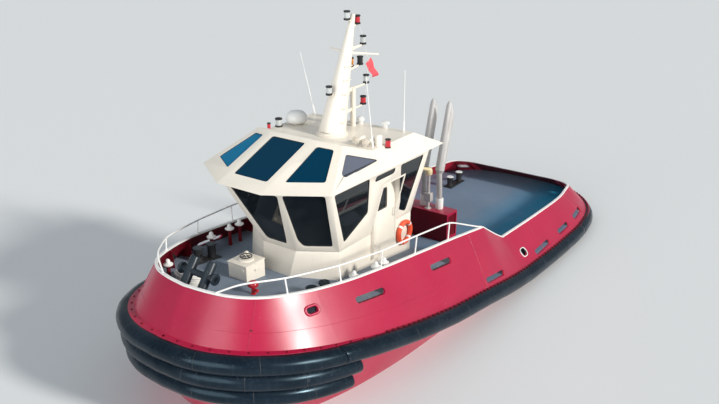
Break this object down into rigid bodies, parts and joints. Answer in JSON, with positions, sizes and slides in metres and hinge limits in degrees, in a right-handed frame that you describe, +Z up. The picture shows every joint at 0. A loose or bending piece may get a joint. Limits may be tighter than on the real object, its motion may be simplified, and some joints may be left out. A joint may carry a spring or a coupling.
{
  "type": "harbour tugboat",
  "caption": "Harbour tugboat with a raked wheelhouse, leaning bulwarks, tiered rubber bow fenders, tall exhausts and turning thrusters.",
  "frame": {"origin": "on the waterline, on the centreline, amidships", "axes": "+X towards the bow, +Y to port, +Z up"},
  "size_m": [19.9903, 7.9306, 11.7],
  "materials": {
    "hull_red": "semi-gloss crimson paint",
    "deck_grey": "matt non-slip blue-grey paint",
    "cream": "gloss cream paint",
    "white": "gloss white paint",
    "fender": "matt moulded rubber",
    "black": "black coating",
    "glass": "tinted, glossy",
    "stainless": "brushed",
    "bronze": "cast and polished",
    "orange": "moulded with white bands",
    "interior": "textured",
    "red": "gloss red paint"
  },
  "bodies": {
    "tug": {"hull": "hull_red", "deck_forward": "deck_grey", "deck_aft": "deck_grey", "bulwark_bow": "hull_red", "bulwark_forward_port": "hull_red", "bulwark_forward_starboard": "hull_red", "bulwark_after_port": "hull_red", "bulwark_after_starboard": "hull_red", "bulwark_stern": "hull_red", "cap_rail": "white", "fender_bow_upper": "fender", "fender_port": "fender", "fender_starboard": "fender", "fender_stern": "fender", "fender_bow_middle": "fender", "fender_bow_lower": "fender", "handrail_port": "white", "handrail_starboard": "white", "wheelhouse_coaming": "cream", "wheelhouse_band": "cream", "wheelhouse_visor": "cream", "glass_lower": "glass", "glass_upper": "glass", "helm_console": "interior", "helm_seat": "interior", "mast": "cream", "radar_dome": "white", "signal_lamp": "cream", "engine_casing": "hull_red", "exhaust_port": "stainless", "exhaust_starboard": "stainless", "monitor": "cream", "tow_bitt": "black", "bitts_bow_port": "black", "bitts_bow_starboard": "black", "bitts_aft": "black", "locker": "cream", "hydrant": "red", "life_ring": "orange"},
    "door_port": {"door_port": "cream", "door_glass_port": "glass"},
    "door_starboard": {"door_starboard": "cream", "door_glass_starboard": "glass"},
    "locker_lid": {"locker_lid": "cream"},
    "thruster_port": {"thruster_port": "black"},
    "thruster_starboard": {"thruster_starboard": "black"},
    "propeller_port": {"propeller_port": "bronze"},
    "propeller_starboard": {"propeller_starboard": "bronze"}
  },
  "joints": [
    {"name": "azimuth_port", "type": "hinge", "parent": "tug", "child": "thruster_port", "pos_m": [-6.7, 1.6, -1.1], "axis": [0, 0, 1], "continuous": true},
    {"name": "azimuth_starboard", "type": "hinge", "parent": "tug", "child": "thruster_starboard", "pos_m": [-6.7, -1.6, -1.1], "axis": [0, 0, 1], "continuous": true},
    {"name": "propeller_turn_port", "type": "hinge", "parent": "thruster_port", "child": "propeller_port", "pos_m": [-7.34, 1.6, -2.03], "axis": [1, 0, 0], "continuous": true},
    {"name": "propeller_turn_starboard", "type": "hinge", "parent": "thruster_starboard", "child": "propeller_starboard", "pos_m": [-7.34, -1.6, -2.03], "axis": [1, 0, 0], "continuous": true},
    {"name": "door_hinge_port", "type": "hinge", "parent": "tug", "child": "door_port", "pos_m": [3.49, 1.562, 3.5], "axis": [0, 0, -1], "range_deg": [0, 90]},
    {"name": "door_hinge_starboard", "type": "hinge", "parent": "tug", "child": "door_starboard", "pos_m": [3.49, -1.562, 3.5], "axis": [0, 0, 1], "range_deg": [0, 90]},
    {"name": "locker_lid_hinge", "type": "hinge", "parent": "tug", "child": "locker_lid", "pos_m": [6.08, -0.35, 3.0203], "axis": [0, -1, 0], "range_deg": [0, 100]}
  ]
}
